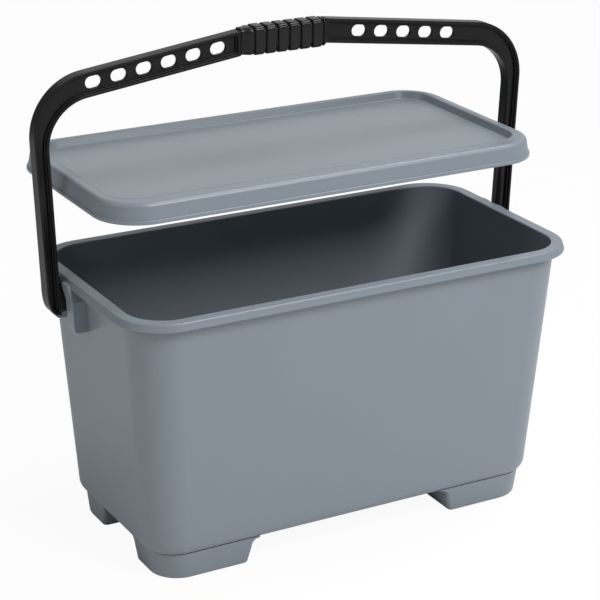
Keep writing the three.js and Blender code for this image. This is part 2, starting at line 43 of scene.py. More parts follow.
# Facets and edges of all pieces
CORNER_STEPS = 20  # in a quarter turn of a plan corner
ROUND_STEPS = 6  # in a quarter turn of a small edge round
BIG_ROUND_STEPS = 12  # in a quarter turn of a round that shows
SHOULDER_STEPS = 40  # along one shoulder of the handle
DISC_STEPS = 96  # round a whole turn
PLATE_EDGE_STEPS = 3  # resolution of the round along a plate's edge
BEVEL_STEPS = 3  # across a bevelled edge
BEVEL_ANGLE = math.radians(30)  # edges that turn more than this are rounded
SHARP_ANGLE = math.radians(32)  # edges that turn more than this are shaded sharp
LARGE_FACE_WEIGHT = 100  # shading follows the large faces alone
LEAST_RADIUS = 0.3  # what is left of a corner that is drawn in further than its radius
MERGE_SHARE = 0.01  # of a plate's edge round: points nearer than this become one

# Fits
FIT = 0.3  # clearance between parts
OVERRUN = 2.0  # how far a cutting body reaches past what it cuts

# Tub
RIM_LENGTH = 500.0
RIM_WIDTH = 262.0
RIM_CORNER = 51.0
TUB_HEIGHT = 284.0
RIM_DROP = 8.0  # height of the rim's outer face
RIM_FLARE = 1.8  # how much that face widens downwards
RIM_OVERHANG = 9.2
RIM_ROUND = 1.6
LIP_ROUND = 0.9
LIP_FILLET = 1.2
WALL = 3.2
FLOOR_LENGTH = 446.0
FLOOR_WIDTH = 214.0
FLOOR_CORNER = 36.0
BOTTOM_ROUND = 12.0

# Feet
FOOT_HEIGHT = 27.0
FOOT_LENGTH = 428.0
FOOT_WIDTH = 200.0
FOOT_CORNER = 30.0
FOOT_SPREAD = 5.0  # growth of the whole stand from the ground to the body, in length and width
FOOT_GAP_LENGTH = 238.0
FOOT_GAP_WIDTH = 80.0
FOOT_GAP_DRAFT = 4.0
FOOT_GAP_FILLET = 9.0
FOOT_EDGE = 3.5  # round along the ground
FOOT_SIDE = 4.0  # plan radius at the two corners on the gaps
FOOT_INSIDE = 14.0  # plan radius at the corner nearest the tub's middle

# Pivot, lugs and bosses
PIVOT_BACK = 38.0  # behind the tub's middle
HUB_RADIUS = 13.5
HUB_HEADROOM = 1.5  # from the hub up to the rim
LUG_CLEARANCE = 2.0  # round the hub
LUG_WIDTH = 16.0
LUG_STAND = 5.5  # past the rim's end
LUG_RAKE = 2.0  # how much less they stand out at their lower end
LUG_RISE = 5.0  # above the rim's lower edge
LUG_DROP = 27.0  # below the pivot
LUG_SHOULDER = 15.0  # height of the slope at a lug's upper corner
LUG_LEAN = 12.0  # width of that slope
LUG_SLOT = 16.0  # gap between the lugs above the hub
LUG_BOTTOM_ROUND = 5.0
LUG_EDGE = 0.7
BOSS_RADIUS = 11.5
BOSS_STAND = 5.2
ROOT_DEPTH = 2.4  # how far lugs and bosses reach into the wall
SOCKET_DEPTH = 1.4  # of the pin's socket, from the wall's outside
PIN_RADIUS = 6.0
PIN_IN_ARM = 0.6
WASHER_THICKNESS = 1.5

# Lid, with levels from its lower edge
LID_END_MARGIN = 7.5  # rim's end to the lid's
LID_SIDE_MARGIN = 8.0  # rim's long side to the lid's
LID_CORNER = 46.0
LID_HEIGHT = 20.0
BEAD_HEIGHT = 3.0
BEAD_ROUND = 0.9
BEAD_STEP = 1.2  # bead past the skirt
SKIRT_DRAFT = 2.2
LID_ROUND = 5.0
LID_WALL = 2.6
BORDER_FRONT = 14.5  # flat border between the lid's round and its recess
BORDER_BACK = 6.5
BORDER_END = 7.5
RECESS_DEPTH = 7.0
RECESS_DRAFT = 2.0
RECESS_CORNER = 28.0
RECESS_ROUND = 1.0
RECESS_BEAD = 1.2  # width of the fine raised line round the recess, each side of its crest
RECESS_BEAD_RISE = 0.5
TAB_WIDTH = 30.0
TAB_THICKNESS = 2.5
TAB_DROP = 3.5
TAB_CLEARANCE = 2.1
TAB_EDGE = 0.5
SIDE_TAB_PLACE = 120.0  # either way from the lid's middle
LID_LIFT = 81.0  # above its seat on the rim
LID_SHIFT = 42.0  # to the back
LID_ASIDE = 6.0  # to the left

# Handle, in its own plane with heights from the pivot
BAR_PEAK = 253.5
BAR_SLOPE = 0.13
BAR_HEIGHT = 25.0
SHOULDER_OUTER = 62.0
SHOULDER_INNER = 47.0
ARM_CLEARANCE = 1.5
ARM_THICKNESS = 13.0
OUTER_SPLAY = 0.045
INNER_SPLAY = 0.035
ARM_FOOT = 14.0  # below the pivot
FOOT_TOE = 3.0  # flat stretch at the arm's end
FOOT_TURN = 16.0  # above the pivot, where the arm's outer edge starts to turn in
DEPTH_AT_PIVOT = 17.5
DEPTH_AT_PEAK = 12.4
FLANGE = 3.0
FLANGE_ROUND = 0.9
WEB_THICKNESS = 4.0
WEB_ROUND = 0.7
LEDGE_WIDTH = 1.6
LEDGE_DEPTH = 3.0
FRAME_END = 3.4  # flange across the bar's end inside the grip
POCKET_CORNER = 3.0
HUB_ROUND = 0.9

# Holes in the handle
HOLE_LENGTH = 17.0
HOLE_HEIGHT = 12.0
HOLE_PITCH = 26.6
FIRST_HOLE = 80.0
LEFT_HOLES = 6
RIGHT_HOLES = 5

# Grip
GRIP_CENTRE = -5.0
GRIP_RIBS = 6
RIB_PITCH = 13.0
RIB_LENGTH = 10.8
GRIP_HEIGHT = 29.2
GRIP_DROP = 1.3  # middle of the grip below the middle of the bar
GRIP_DEPTH = 21.0
GRIP_CORNER = 5.0
RIB_ROUND = 1.6
RIB_DEPTH = 2.2
LEFT_COLLAR = 14.0
RIGHT_COLLAR = 6.5
COLLAR_DEPTH = 13.8
COLLAR_HEIGHT = 26.6
COLLAR_EDGE = 0.6
COLLAR_ROUND = 0.8

# Plastics: colour, roughness, specular level, grain's scale, its height in metres, mottling share
PLASTICS = {
    "grey_plastic": ((0.207, 0.242, 0.277), 0.34, 0.5, 900.0, 0.00006, 0.03),
    "black_plastic": ((0.014, 0.014, 0.0145), 0.24, 0.12, 700.0, 0.00004, 0.1),
    "black_grip": ((0.014, 0.014, 0.0145), 0.2, 0.2, 700.0, 0.00004, 0.1),
    "pale_nylon": ((0.66, 0.65, 0.6), 0.4, 0.5, 500.0, 0.00003, 0.03),
}
PLASTIC_IOR = 1.49
MOTTLE_SCALE = 9.0
MOTTLE_DETAIL = 3.0
GLOSS_SCALE = 24.0
GLOSS_DETAIL = 4.0
GLOSS_SPREAD = 0.02  # change of roughness either way
GRAIN_DETAIL = 2.0

# Stage
STAGE_REACH = 12.0
STAGE_COLOUR = (0.9, 0.9, 0.9, 1.0)
STAGE_ROUGHNESS = 0.9
STAGE_WHITE_SHARE = 0.94  # of plain white in what the camera sees of the floor
WORLD_COLOUR = (1.0, 1.0, 1.0, 1.0)
WORLD_STRENGTH = 0.2

# Lights round the bucket: azimuth from +X, elevation, distance, width and height, watts
LIGHTS = {
    "top_softbox": (-90.0, 88.0, 2.4, 2.0, 2.0, 8.0),
    "right_softbox": (0.0, 62.0, 2.4, 0.8, 0.8, 19.0),
    "front_softbox": (-72.0, 41.0, 2.4, 1.1, 0.9, 40.0),
    "left_softbox": (180.0, 32.0, 2.4, 1.1, 0.9, 7.0),
    "low_back_softbox": (60.0, 22.0, 2.6, 3.6, 1.5, 9.0),
}
LIGHT_TARGET = Vector((0.0, 0.0, 0.25))

# Camera
CAMERA_YAW = math.radians(-29.27)
CAMERA_PITCH = math.radians(20.96)
CAMERA_ROLL = math.radians(0.41)
CAMERA_DISTANCE = 2.1092
CAMERA_TARGET_X = -0.0066
CAMERA_TARGET_HEIGHT = 0.2274
CAMERA_SIGHT = 100.0
SENSOR_WIDTH = 36.0  # in millimetres
FOCAL_PIXELS = 2059.0
PICTURE_PIXELS = 600.0


# Rounded rectangles and arcs
def corner_outline(low_x, high_x, low_y, high_y, radii, steps=CORNER_STEPS):
    """Points of a rectangle with a radius for each corner, counter-clockwise from high X and Y."""
    points = []
    for quarter, radius in enumerate(radii):
        centre_x = high_x - radius if quarter in (0, 3) else low_x + radius
        centre_y = high_y - radius if quarter < 2 else low_y + radius
        for step in range(steps + 1):
            angle = (quarter + step / steps) * QUARTER
            points.append((centre_x + radius * math.cos(angle), centre_y + radius * math.sin(angle)))
    return points


def rounded_outline(half_x, half_y, radius, steps=CORNER_STEPS):
    return corner_outline(-half_x, half_x, -half_y, half_y, [radius] * 4, steps)


def ring(size, inset, level):
    """One level of a loft: size is (length, width, corner), all drawn in by inset."""
    length, width, corner = size
    radius = max(corner - inset, LEAST_RADIUS)
    return [(x, y, level) for x, y in rounded_outline(length / 2 - inset, width / 2 - inset, radius)]


def arc(centre_inset, centre_level, radius, start, end, steps=ROUND_STEPS):
    """(inset, level) pairs along an arc, with angles counted from outwards to up."""
    pairs = []
    for step in range(steps + 1):
        angle = start + (end - start) * step / steps
        pairs.append((centre_inset - radius * math.cos(angle), centre_level + radius * math.sin(angle)))
    return pairs


def quarter_round(radius):
    """(across, along) pairs that round a square edge, from (radius, 0) to (0, radius)."""
    angles = [QUARTER * step / ROUND_STEPS for step in range(ROUND_STEPS + 1)]
    return [(radius * (1 - math.sin(angle)), radius * (1 - math.cos(angle))) for angle in angles]


# Making and removing objects
def add_object(name, data):
    obj = bpy.data.objects.new(name, data)
    bpy.context.scene.collection.objects.link(obj)
    return obj


def new_object(name, bm, unit=MM):
    """Makes an object in metres from a bmesh whose unit is that many metres."""
    bmesh.ops.scale(bm, vec=(unit, unit, unit), verts=bm.verts)
    bmesh.ops.recalc_face_normals(bm, faces=bm.faces)
    mesh = bpy.data.meshes.new(name)
    bm.to_mesh(mesh)
    bm.free()
    return add_object(name, mesh)


def remove(obj):
    mesh = obj.data
    bpy.data.objects.remove(obj)
    bpy.data.meshes.remove(mesh)


def loft(name, rings):
    """Closed body through rings of equally many points, with a flat cap at each end."""
    bm = bmesh.new()
    rows = [[bm.verts.new(point) for point in points] for points in rings]
    count = len(rows[0])
    for low, high in zip(rows, rows[1:]):
        for i in range(count):
            j = (i + 1) % count
            bm.faces.new((low[i], low[j], high[j], high[i]))
    bm.faces.new(list(reversed(rows[0])))
    bm.faces.new(rows[-1])
    return new_object(name, bm)


def block(name, low, high):
    bm = bmesh.new()
    bmesh.ops.create_cube(bm, size=1.0)
    for vertex in bm.verts:
        spans = zip(low, high, vertex.co)
        vertex.co = Vector([near + (far - near) * (share + 0.5) for near, far, share in spans])
    return new_object(name, bm)


def turned(name, profile, height):
    """Round body along X from (x, radius) pairs, about a line at that height."""
    angles = [step / DISC_STEPS * 2 * math.pi for step in range(DISC_STEPS)]
    circle = [(math.cos(angle), math.sin(angle)) for angle in angles]
    rings = [[(x, radius * y, height + radius * z) for y, z in circle] for x, radius in profile]
    return loft(name, rings)


def rod(name, low, high, radius, height):
    return turned(name, [(low, radius), (high, radius)], height)


def prism(name, outline, axis, low, high):
    """Straight body from an outline. Along X the outline is (Y, Z), and along Y it is (X, Z)."""
    if axis == "X":
        return loft(name, [[(level, a, b) for a, b in outline] for level in (low, high)])
    return loft(name, [[(a, level, b) for a, b in outline] for level in (low, high)])


# Changes to whole objects
def settle(obj):
    """Turns an object's modifiers into its mesh."""
    graph = bpy.context.evaluated_depsgraph_get()
    mesh = bpy.data.meshes.new_from_object(obj.evaluated_get(graph))
    old = obj.data
    obj.modifiers.clear()
    obj.data = mesh
    bpy.data.meshes.remove(old)


def combine(target, other, operation):
    """Joins, cuts or keeps what two bodies share, and removes the second."""
    modifier = target.modifiers.new("combine", "BOOLEAN")
    modifier.operation = operation
    modifier.solver = "EXACT"
    modifier.object = other
    settle(target)
    remove(other)
    return target


def join(target, other):
    return combine(target, other, "UNION")


def cut(target, other):
    return combine(target, other, "DIFFERENCE")


def keep_common(target, other):
    return combine(target, other, "INTERSECT")


def mirrored(obj, name, axis=0):
    """A mirrored copy on the other side of X = 0 or Y = 0."""
    bm = bmesh.new()
    bm.from_mesh(obj.data)
    for vertex in bm.verts:
        vertex.co[axis] = -vertex.co[axis]
    bmesh.ops.reverse_faces(bm, faces=bm.faces)
    return new_object(name, bm, unit=1.0)


def both_sides(obj, axis=0):
    """An object and its mirror image, joined."""
    return join(obj, mirrored(obj, obj.name + "_twin", axis))


def move(obj, x, y, z):
    """Moves an object's mesh by millimetres."""
    obj.data.transform(Matrix.Translation((x * MM, y * MM, z * MM)))


def edge_bevel(obj, width):
    modifier = obj.modifiers.new("edges", "BEVEL")
    modifier.width = width * MM
    modifier.segments = BEVEL_STEPS
    modifier.limit_method = "ANGLE"
    modifier.angle_limit = BEVEL_ANGLE
    settle(obj)


def smooth(obj):
    """Smooth shading that follows the large faces, with sharp edges past an angle."""
    obj.data.shade_smooth()
    obj.data.set_sharp_from_angle(angle=SHARP_ANGLE)
    modifier = obj.modifiers.new("face_weights", "WEIGHTED_NORMAL")
    modifier.keep_sharp = True
    modifier.weight = LARGE_FACE_WEIGHT
    modifier.mode = "FACE_AREA"


# Tub
RIM = (RIM_LENGTH, RIM_WIDTH, RIM_CORNER)
WALL_TOP = (RIM_LENGTH - 2 * RIM_OVERHANG, RIM_WIDTH - 2 * RIM_OVERHANG, RIM_CORNER - RIM_OVERHANG)
FLOOR = (FLOOR_LENGTH, FLOOR_WIDTH, FLOOR_CORNER)


def wall_size(level):
    """Length, width and corner of the tub's wall at a level."""
    share = (level - FOOT_HEIGHT) / (TUB_HEIGHT - FOOT_HEIGHT)
    return tuple(low + (high - low) * share for low, high in zip(FLOOR, WALL_TOP))


PIVOT_HEIGHT = TUB_HEIGHT - RIM_DROP - HUB_HEADROOM - HUB_RADIUS
BORE_RADIUS = PIN_RADIUS + FIT
WALL_REACH = wall_size(PIVOT_HEIGHT)[0] / 2
ROOT_REACH = WALL_REACH - ROOT_DEPTH
SOCKET_FLOOR = WALL_REACH - SOCKET_DEPTH
BOSS_REACH = WALL_REACH + BOSS_STAND
HUB_REACH = BOSS_REACH + FIT + WASHER_THICKNESS + FIT
LUG_REACH = RIM_LENGTH / 2 + LUG_STAND
LUG_BOTTOM = PIVOT_HEIGHT - LUG_DROP


def bottom_rings(inset):
    """Rings of the round at the bottom of the body, for a skin that lies inset from the outside."""
    radius = BOTTOM_ROUND - inset
    profile = arc(BOTTOM_ROUND, FOOT_HEIGHT + BOTTOM_ROUND, radius, -QUARTER, 0.0, BIG_ROUND_STEPS)
    return [ring(wall_size(level), drawn, level) for drawn, level in profile]


def tub_shell():
    """Wall, floor and rim as one closed skin, from under the floor round to its inside."""
    lip = TUB_HEIGHT - RIM_DROP
    flank = math.atan2(RIM_FLARE, RIM_DROP)
    crest = TUB_HEIGHT - RIM_ROUND
    mouth = RIM_OVERHANG + WALL
    rim = arc(RIM_OVERHANG - LIP_FILLET, lip - LIP_FILLET, LIP_FILLET, 2 * QUARTER, QUARTER)
    rim += arc(LIP_ROUND - RIM_FLARE, lip + LIP_ROUND, LIP_ROUND, -QUARTER, flank)
    rim += arc(RIM_ROUND, crest, RIM_ROUND, flank, QUARTER)
    rim += arc(mouth - RIM_ROUND, crest, RIM_ROUND, QUARTER, 2 * QUARTER)
    rings = bottom_rings(0.0)
    rings += [ring(RIM, inset, level) for inset, level in rim]
    rings += reversed(bottom_rings(WALL))
    return loft("tub_body", rings)


def foot_body(name, inset, top):
    """One corner foot up to a level, with its sides and its underside drawn in by inset."""
    corners = (FOOT_CORNER, FOOT_SIDE, FOOT_INSIDE, FOOT_SIDE)
    radii = [max(radius - inset, LEAST_RADIUS) for radius in corners]

    def foot_ring(drawn, lean, level):
        spread = FOOT_SPREAD / 2 * min(level / FOOT_HEIGHT, 1.0)
        outline = corner_outline(
            FOOT_GAP_LENGTH / 2 - lean + drawn,
            FOOT_LENGTH / 2 + spread - drawn,
            FOOT_GAP_WIDTH / 2 - lean + drawn,
            FOOT_WIDTH / 2 + spread - drawn,
            radii,
        )
        return [(x, y, level) for x, y in outline]

    edge = arc(inset + FOOT_EDGE, inset + FOOT_EDGE, FOOT_EDGE, -QUARTER, 0.0)
    full_lean = FOOT_GAP_DRAFT + FOOT_GAP_FILLET
    fillet_foot = FOOT_HEIGHT - FOOT_GAP_FILLET
    fillet = arc(full_lean, fillet_foot, FOOT_GAP_FILLET, 0.0, QUARTER, BIG_ROUND_STEPS)
    rings = [foot_ring(drawn, 0.0, level) for drawn, level in edge]
    rings += [foot_ring(inset, lean, level) for lean, level in fillet + [(full_lean, top)]]
    return loft(name, rings)


def feet(name, inset, top):
    return both_sides(both_sides(foot_body(name, inset, top), 1), 0)


def lugs():
    """The two lugs that guard one hub, on the +X end."""
    top = TUB_HEIGHT - RIM_DROP + LUG_RISE
    hollow = HUB_RADIUS + LUG_CLEARANCE
    side = hollow + LUG_WIDTH
    heel = LUG_REACH - LUG_RAKE
    low_root, high_root = (wall_size(level)[0] / 2 - ROOT_DEPTH for level in (LUG_BOTTOM, top))
    from_side = [(low_root, LUG_BOTTOM)]
    from_side += [(heel - across, LUG_BOTTOM + up) for across, up in quarter_round(LUG_BOTTOM_ROUND)]
    from_side += [(LUG_REACH, top), (high_root, top)]
    slope_foot = top - LUG_SHOULDER
    from_end = [(-side, LUG_BOTTOM), (side, LUG_BOTTOM), (side, slope_foot)]
    from_end += [(side - LUG_LEAN, top), (LUG_LEAN - side, top), (-side, slope_foot)]
    pair = prism("lugs", from_side, "Y", -side - OVERRUN, side + OVERRUN)
    inner, outer = low_root - OVERRUN, LUG_REACH + OVERRUN
    keep_common(pair, prism("lug_sides", from_end, "X", inner, outer))
    cut(pair, rod("lug_hollow", inner, outer, hollow, PIVOT_HEIGHT))
    over_hub = ((inner, -LUG_SLOT / 2, PIVOT_HEIGHT), (outer, LUG_SLOT / 2, TUB_HEIGHT))
    under_hub = ((inner, -hollow, LUG_BOTTOM - OVERRUN), (outer, hollow, PIVOT_HEIGHT))
    for low, high in (over_hub, under_hub):
        cut(pair, block("lug_slot", low, high))
    edge_bevel(pair, LUG_EDGE)
    return pair


def at_both_pivots(obj):
    """What is made round the X axis for the +X end, moved back to the pivots and mirrored."""
    move(obj, 0.0, PIVOT_BACK, 0.0)
    return both_sides(obj)


def make_tub():
    """The shell with its bosses, lugs and feet. The wells in the feet open into the tub."""
    tub = tub_shell()
    join(tub, at_both_pivots(rod("boss", ROOT_REACH, BOSS_REACH, BOSS_RADIUS, PIVOT_HEIGHT)))
    join(tub, at_both_pivots(lugs()))
    join(tub, feet("feet", 0.0, FOOT_HEIGHT + WALL / 2))
    cut(tub, feet("wells", WALL, FOOT_HEIGHT + BOTTOM_ROUND / 2))
    cut(tub, at_both_pivots(rod("bore", SOCKET_FLOOR, BOSS_REACH + OVERRUN, BORE_RADIUS, PIVOT_HEIGHT)))
    smooth(tub)
    return tub


# Lid
LID_LENGTH = RIM_LENGTH - 2 * LID_END_MARGIN
LID_WIDTH = RIM_WIDTH - 2 * LID_SIDE_MARGIN
LID = (LID_LENGTH, LID_WIDTH, LID_CORNER)
LID_BASE = TUB_HEIGHT + FIT + LID_LIFT
LID_CREASE = BEAD_STEP + SKIRT_DRAFT + LID_ROUND
SKIRT_INSIDE = BEAD_STEP + SKIRT_DRAFT + LID_WALL


def recess_ring(drawn, level):
    """One level of the recess in the lid, drawn in from its top edge."""
    edge = LID_CREASE + drawn
    half_x = LID_LENGTH / 2 - edge - BORDER_END
    low_y = edge + BORDER_FRONT - LID_WIDTH / 2
    high_y = LID_WIDTH / 2 - edge - BORDER_BACK
    outline = corner_outline(-half_x, half_x, low_y, high_y, [RECESS_CORNER - drawn] * 4)
    return [(x, y, LID_BASE + level) for x, y in outline]


def lid_skin():
    """Bead, skirt, rounded top, border and recess, from the underside round to the top."""
    floor = LID_HEIGHT - RECESS_DEPTH
    ceiling = LID_HEIGHT - LID_WALL
    shoulder = LID_HEIGHT - LID_ROUND
    skirt_foot = BEAD_STEP + LID_WALL
    crest = -RECESS_ROUND - RECESS_BEAD
    under = [(RECESS_DRAFT - LID_WALL, floor - LID_WALL), (-LID_WALL, ceiling)]
    skin = [(LID_CREASE, ceiling), (SKIRT_INSIDE, shoulder)]
    skin += [(skirt_foot, BEAD_HEIGHT), (skirt_foot - BEAD_ROUND, 0.0)]
    skin += arc(BEAD_ROUND, BEAD_ROUND, BEAD_ROUND, -QUARTER, 0.0)
    skin += arc(BEAD_ROUND, BEAD_HEIGHT, BEAD_ROUND, 0.0, QUARTER)[:-1]
    skin += [(BEAD_STEP, BEAD_HEIGHT + BEAD_ROUND)]
    skin += arc(LID_CREASE, shoulder, LID_ROUND, 0.0, QUARTER, BIG_ROUND_STEPS)
    recess = [(crest - RECESS_BEAD, LID_HEIGHT), (crest, LID_HEIGHT + RECESS_BEAD_RISE)]
    recess += arc(-RECESS_ROUND, LID_HEIGHT - RECESS_ROUND, RECESS_ROUND, QUARTER, 2 * QUARTER)
    recess += arc(RECESS_DRAFT + RECESS_ROUND, floor + RECESS_ROUND, RECESS_ROUND, 0.0, -QUARTER)
    rings = [recess_ring(drawn, level) for drawn, level in under]
    rings += [ring(LID, inset, LID_BASE + level) for inset, level in skin]
    rings += [recess_ring(drawn, level) for drawn, level in recess]
    return loft("lid_body", rings)


def lid_tabs():
    """Tabs that drop inside the rim and keep the lid on its seat."""
    half = TAB_WIDTH / 2
    margin = RIM_OVERHANG + WALL + TAB_CLEARANCE
    reach_x = RIM_LENGTH / 2 - margin
    reach_y = RIM_WIDTH / 2 - margin
    high = LID_BASE + LID_HEIGHT - LID_WALL / 2
    end_foot = LID_BASE - TAB_DROP
    side_foot = LID_BASE - TAB_DROP / 2
    end_tab = block("end_tab", (reach_x - TAB_THICKNESS, -half, end_foot), (reach_x, half, high))
    side_low = (SIDE_TAB_PLACE - half, reach_y - TAB_THICKNESS, side_foot)
    side_tab = block("side_tab", side_low, (SIDE_TAB_PLACE + half, reach_y, high))
    for tab in (end_tab, side_tab):
        edge_bevel(tab, TAB_EDGE)
    join(end_tab, both_sides(side_tab, 1))
    return both_sides(end_tab)


def make_lid():
    lid = lid_skin()
    join(lid, lid_tabs())
    move(lid, -LID_ASIDE, LID_SHIFT, 0.0)
    smooth(lid)
    return lid


# Handle
ARM_INNER = LUG_REACH + ARM_CLEARANCE
PIN_REACH = ARM_INNER + PIN_IN_ARM
TOP_ANGLE = math.atan(BAR_SLOPE)
OUTWARD = Vector((math.cos(TOP_ANGLE), -math.sin(TOP_ANGLE)))
GRIP_HALF = (GRIP_RIBS * RIB_PITCH - (RIB_PITCH - RIB_LENGTH)) / 2
GRIP_LEFT = GRIP_CENTRE - GRIP_HALF - LEFT_COLLAR
GRIP_RIGHT = GRIP_CENTRE + GRIP_HALF + RIGHT_COLLAR
GRIP_LEVEL = BAR_PEAK - BAR_HEIGHT / 2 - BAR_SLOPE * GRIP_HALF - GRIP_DROP


class Edge:
    """A straight edge through a point, in the plane of the handle."""

    def __init__(self, point, direction):
        self.point = Vector(point)
        self.direction = Vector(direction).normalized()

    def moved(self, distance):
        """The edge moved sideways, to the right of its direction."""
        right = Vector((self.direction.y, -self.direction.x))
        return Edge(self.point + right * distance, self.direction)

    def at_x(self, x):
        return self.point + self.direction * (x - self.point.x) / self.direction.x

    def at_height(self, height):
        return self.point + self.direction * (height - self.point.y) / self.direction.y

    def meets(self, other):
        a, b = self.direction, other.direction
        between = other.point - self.point
        along = (between.x * b.y - between.y * b.x) / (a.x * b.y - a.y * b.x)
        return self.point + a * along


def circle_points(centre, radius, start, end, steps):
    return [
        centre + radius * Vector((math.cos(angle), math.sin(angle)))
        for angle in (start + (end - start) * step / steps for step in range(steps + 1))
    ]


def bend(start, corner, end, steps):
    """Points along a curve from start to end that leaves and arrives in line with the corner."""
    points = []
    for step in range(steps + 1):
        share = step / steps
        points.append((1 - share) ** 2 * start + 2 * share * (1 - share) * corner + share**2 * end)
    return points


def rounded_corner(before, corner, after, radius):
    """Points that round a corner between two straight edges."""
    to_before = (before - corner).normalized()
    to_after = (after - corner).normalized()
    reach = radius / math.tan(math.acos(to_before.dot(to_after)) / 2)
    return bend(corner + to_before * reach, corner, corner + to_after * reach, ROUND_STEPS)


def bar_outline(start, inset, corner=0.0):
    """The bar between its outer and inner edges on the +X side, drawn in by inset."""
    splay_out = math.atan(OUTER_SPLAY)
    splay_in = math.atan(INNER_SPLAY)
    top_edge = Edge((0.0, BAR_PEAK), OUTWARD)
    arm_edge = Edge((ARM_INNER + ARM_THICKNESS, 0.0), (-math.sin(splay_out), -math.cos(splay_out)))
    under_edge = Edge((0.0, BAR_PEAK - BAR_HEIGHT), OUTWARD)
    inner_edge = Edge((ARM_INNER, 0.0), (-math.sin(splay_in), -math.cos(splay_in)))
    outer_centre = top_edge.moved(SHOULDER_OUTER).meets(arm_edge.moved(SHOULDER_OUTER))
    inner_centre = under_edge.moved(SHOULDER_INNER).meets(inner_edge.moved(SHOULDER_INNER))
    top, arm = top_edge.moved(inset), arm_edge.moved(inset)
    under, inner = under_edge.moved(-inset), inner_edge.moved(-inset)
    first, last = top.at_x(start), under.at_x(start)
    outer_turn = circle_points(
        outer_centre, SHOULDER_OUTER - inset, QUARTER - TOP_ANGLE, -splay_out, SHOULDER_STEPS
    )
    inner_turn = circle_points(
        inner_centre, SHOULDER_INNER + inset, -splay_in, QUARTER - TOP_ANGLE, SHOULDER_STEPS
    )
    if corner:
        points = rounded_corner(inner_turn[-1], last, first, corner)
        points += rounded_corner(last, first, outer_turn[0], corner)
    else:
        points = [last, first]
    points += outer_turn
    end = inset - ARM_FOOT
    heel, toe = arm.at_height(FOOT_TURN), inner.at_height(end)
    flat = Vector((min(toe.x + max(FOOT_TOE - inset, 0.0), heel.x), end))
    points += bend(heel, Vector((heel.x, end)), flat, BIG_ROUND_STEPS)
    if flat.x > toe.x:
        points.append(toe)
    return points + inner_turn


def hole_outline(place):
    """A hole in the web with round ends, along the bar's middle line."""
    centre_line = Edge((0.0, BAR_PEAK - BAR_HEIGHT / 2), OUTWARD)
    centre = centre_line.at_x(place)
    radius = HOLE_HEIGHT / 2
    reach = OUTWARD * (HOLE_LENGTH / 2 - radius)
    low, high = -QUARTER - TOP_ANGLE, QUARTER - TOP_ANGLE
    right = circle_points(centre + reach, radius, low, high, 2 * BIG_ROUND_STEPS)
    left = circle_points(centre - reach, radius, high, high + 2 * QUARTER, 2 * BIG_ROUND_STEPS)
    return right + left


def plate(name, outlines, depth, edge_round):
    """A plate in the handle's plane from an outline and its holes, with rounded edges."""
    curve = bpy.data.curves.new(name, "CURVE")
    curve.dimensions = "2D"
    curve.fill_mode = "BOTH"
    curve.extrude = depth / 2 - edge_round
    curve.bevel_depth = edge_round
    curve.bevel_resolution = PLATE_EDGE_STEPS
    curve.offset = -edge_round
    for outline in outlines:
        spline = curve.splines.new("POLY")
        spline.points.add(len(outline) - 1)
        spline.use_cyclic_u = True
        for point, place in zip(spline.points, outline):
            point.co = (place.x, place.y, 0.0, 1.0)
    holder = add_object(name, curve)
    graph = bpy.context.evaluated_depsgraph_get()
    mesh = bpy.data.meshes.new_from_object(holder.evaluated_get(graph))
    bpy.data.objects.remove(holder)
    bpy.data.curves.remove(curve)
    bm = bmesh.new()
    bm.from_mesh(mesh)
    bpy.data.meshes.remove(mesh)
    bmesh.ops.remove_doubles(bm, verts=bm.verts, dist=edge_round * MERGE_SHARE)
    for vertex in bm.verts:
        x, z, y = vertex.co
        vertex.co = (x, y, z)
    return new_object(name, bm)


def taper(obj):
    """Thins the bar from the pivot up to its peak."""
    peak = BAR_PEAK * MM
    for vertex in obj.data.vertices:
        share = vertex.co.z / peak
        vertex.co.y *= 1 + (DEPTH_AT_PEAK / DEPTH_AT_PIVOT - 1) * share


def hub(name):
    """The round hub at the foot of an arm, with both its ends rounded."""
    outer_end = ARM_INNER + FLANGE / 2
    edge = quarter_round(HUB_ROUND)
    profile = [(HUB_REACH + along, HUB_RADIUS - drawn) for drawn, along in edge]
    profile += [(outer_end - along, HUB_RADIUS - drawn) for along, drawn in edge]
    return turned(name, profile, 0.0)


def handle_half(name, start, holes, side):
    """One half of the bar: flanges round a web with holes, a ledge inside the flanges and the hub."""
    pocket = bar_outline(start + FRAME_END, FLANGE, POCKET_CORNER)
    bar = plate(name, [bar_outline(start, 0.0), pocket], DEPTH_AT_PIVOT, FLANGE_ROUND)
    middle_edge = bar_outline(start + FRAME_END / 2, FLANGE / 2)
    ledge_corner = POCKET_CORNER - LEDGE_WIDTH / 2
    ledge_hole = bar_outline(start + FRAME_END + LEDGE_WIDTH, FLANGE + LEDGE_WIDTH, ledge_corner)
    ledge_depth = DEPTH_AT_PIVOT - 2 * LEDGE_DEPTH
    ledge = plate(name + "_ledge", [middle_edge, ledge_hole], ledge_depth, WEB_ROUND)
    openings = [hole_outline(FIRST_HOLE + i * HOLE_PITCH) for i in range(holes)]
    web = plate(name + "_web", [middle_edge] + openings, WEB_THICKNESS, WEB_ROUND)
    taper(bar)
    taper(ledge)
    for part in (ledge, web, hub(name + "_hub")):
        join(bar, part)
    cut(bar, rod(name + "_bore", HUB_REACH - OVERRUN, PIN_REACH + FIT, BORE_RADIUS, 0.0))
    if side < 0:
        bar_right = bar
        bar = mirrored(bar_right, name)
        remove(bar_right)
    bar.name = name
    move(bar, 0.0, PIVOT_BACK, PIVOT_HEIGHT)
    smooth(bar)
    return bar


